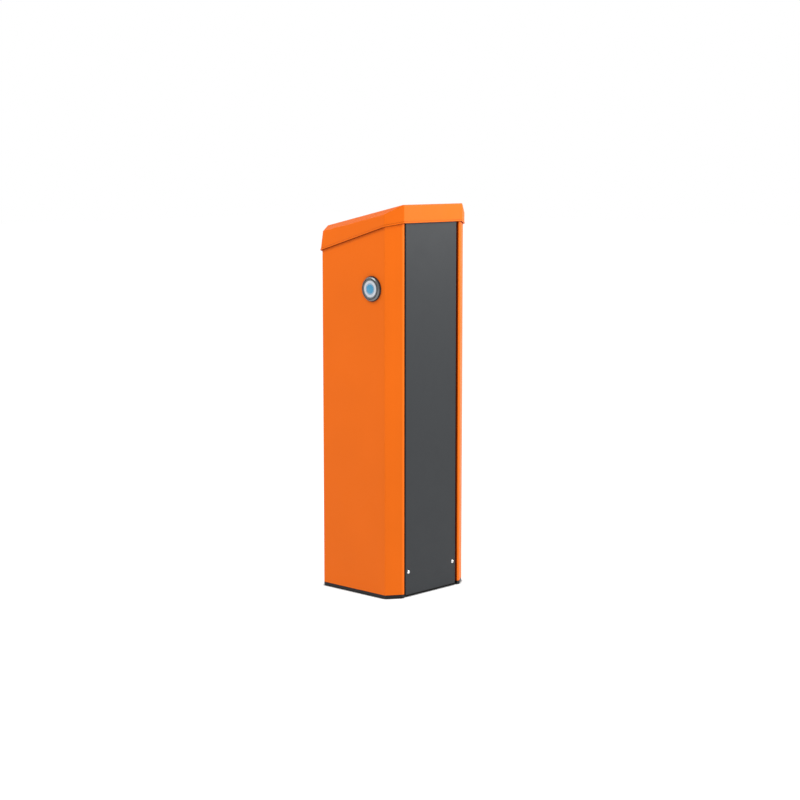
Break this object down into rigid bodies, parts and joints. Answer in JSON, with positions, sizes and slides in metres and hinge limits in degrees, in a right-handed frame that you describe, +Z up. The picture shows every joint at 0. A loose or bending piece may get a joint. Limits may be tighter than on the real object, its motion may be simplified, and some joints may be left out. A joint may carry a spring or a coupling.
{
  "type": "parking barrier gate cabinet",
  "caption": "Upright sheet-metal barrier cabinet with a sloping lift-off hood, service door, boom drive shaft with flange, torque motor linkage and balance springs.",
  "frame": {"origin": "centre of the four anchor holes, on the underside of the base frame", "axes": "+Z up, -Y towards the fixed dark front panel, +Y towards the service door, +X towards the side with the boom flange"},
  "size_m": [0.2861, 0.2614, 0.9143],
  "materials": {
    "orange_paint": "satin powder coat",
    "panel_paint": "fine-textured matt powder coat",
    "base_paint": "black powder coat",
    "cap_plastic": "moulded, satin gloss",
    "medallion_white": "glossy",
    "stainless": "bright",
    "zinc_plate": "zinc plated sheet",
    "rubber": "matt",
    "chrome": "polished",
    "machined_steel": "turned",
    "lever_paint": "black enamel",
    "hub_steel": "turned, lightly oiled",
    "spring_steel": "black epoxy coat",
    "cast_iron": "painted casting",
    "cast_aluminium": "as cast",
    "stator_steel": "laminated",
    "copper": "enamelled wire",
    "controller_plastic": "fine grain",
    "display_glass": "glossy",
    "button_plastic": "soft touch",
    "device_plastic": "fine grain",
    "toggle_plastic": "glossy",
    "supply_metal": "satin"
  },
  "bodies": {
    "cabinet": {"anchor_clamp_bars": "zinc_plate", "balance_springs": "spring_steel", "base_frame": "base_paint", "bearing_housings": "cast_iron", "bearing_outer_rings": "machined_steel", "buffer_brackets": "zinc_plate", "cable_rail": "zinc_plate", "cap_medallion": "medallion_white", "cap_ring": "cap_plastic", "circuit_breaker": "device_plastic", "controller_case": "controller_plastic", "controller_display": "display_glass", "din_rail": "zinc_plate", "door_hinge_pins": "stainless", "equipment_plates": "zinc_plate", "frame_bolts": "zinc_plate", "front_panel": "panel_paint", "front_panel_screws": "stainless", "hood_rest_pads": "rubber", "left_shell": "orange_paint", "left_upright": "zinc_plate", "motor_bearings": "machined_steel", "motor_end_shield": "cast_aluminium", "motor_housing": "cast_aluminium", "motor_stator": "stator_steel", "motor_windings": "copper", "power_supply": "supply_metal", "rear_header": "zinc_plate", "right_shell": "orange_paint", "right_upright": "zinc_plate", "shell_brackets": "zinc_plate", "spring_bracket": "zinc_plate", "stop_buffers": "rubber", "terminal_blocks": "device_plastic"},
    "boom_shaft": {"drive_shaft": "machined_steel", "shaft_lever": "lever_paint", "spring_pins": "machined_steel", "lever_pin": "machined_steel", "bearing_inner_rings": "machined_steel", "boom_hub": "hub_steel", "boom_hub_screw": "stainless", "stop_arm": "lever_paint"},
    "spring_tie_rods": {"tie_rods": "machined_steel", "spring_seats": "machined_steel"},
    "motor_crank": {"motor_rotor": "stator_steel", "crank_arm": "lever_paint", "crank_pin": "machined_steel"},
    "drive_link": {"connecting_rod": "cast_aluminium"},
    "hood_cover": {"hood": "orange_paint", "hood_stiffener": "zinc_plate"},
    "rear_door": {"service_door": "panel_paint", "door_gasket": "rubber", "lock_body": "chrome"},
    "door_lock": {"lock_plug": "chrome", "lock_cam": "stainless"},
    "switch_toggle": {"breaker_toggle": "toggle_plastic"},
    "menu_button_1": {"push_button_1": "button_plastic"},
    "menu_button_2": {"push_button_2": "button_plastic"},
    "menu_button_3": {"push_button_3": "button_plastic"},
    "menu_button_4": {"push_button_4": "button_plastic"}
  },
  "joints": [
    {"name": "boom_turn", "type": "hinge", "parent": "cabinet", "child": "boom_shaft", "pos_m": [0, -0.0606, 0.722], "axis": [1, 0, 0], "range_deg": [0, 90], "deforming": ["balance_springs"]},
    {"name": "crank_turn", "type": "hinge", "parent": "cabinet", "child": "motor_crank", "pos_m": [0, 0.047, 0.6], "axis": [1, 0, 0], "range_deg": [0, 90]},
    {"name": "link_turn", "type": "hinge", "parent": "motor_crank", "child": "drive_link", "pos_m": [-0.007, 0.089, 0.6], "axis": [1, 0, 0], "range_deg": [-90, 0]},
    {"name": "tie_rod_turn", "type": "hinge", "parent": "boom_shaft", "child": "spring_tie_rods", "pos_m": [0, -0.02524, 0.68664], "axis": [1, 0, 0], "range_deg": [-90, 0]},
    {"name": "hood_lift", "type": "slide", "parent": "cabinet", "child": "hood_cover", "axis": [0, 0, 1], "range_m": [0, 0.2]},
    {"name": "door_turn", "type": "hinge", "parent": "cabinet", "child": "rear_door", "pos_m": [0.079, 0.1115, 0.4], "axis": [0, 0, -1], "range_deg": [0, 100]},
    {"name": "lock_turn", "type": "hinge", "parent": "rear_door", "child": "door_lock", "pos_m": [-0.06, 0.1115, 0.43], "axis": [0, 1, 0], "range_deg": [0, 90]},
    {"name": "main_switch_turn", "type": "hinge", "parent": "cabinet", "child": "switch_toggle", "pos_m": [-0.015, 0.086, 0.3], "axis": [-1, 0, 0], "range_deg": [0, 50]},
    {"name": "menu_button_1_press", "type": "slide", "parent": "cabinet", "child": "menu_button_1", "axis": [0, -1, 0], "range_m": [0, 0.0015], "stiffness_N_per_m": 400},
    {"name": "menu_button_2_press", "type": "slide", "parent": "cabinet", "child": "menu_button_2", "axis": [0, -1, 0], "range_m": [0, 0.0015], "stiffness_N_per_m": 400},
    {"name": "menu_button_3_press", "type": "slide", "parent": "cabinet", "child": "menu_button_3", "axis": [0, -1, 0], "range_m": [0, 0.0015], "stiffness_N_per_m": 400},
    {"name": "menu_button_4_press", "type": "slide", "parent": "cabinet", "child": "menu_button_4", "axis": [0, -1, 0], "range_m": [0, 0.0015], "stiffness_N_per_m": 400}
  ],
  "couplings": [
    {"joint": "crank_turn", "follows": "boom_turn", "ratio": 1},
    {"joint": "link_turn", "follows": "boom_turn", "ratio": -1},
    {"joint": "tie_rod_turn", "follows": "boom_turn", "ratio": -1}
  ]
}
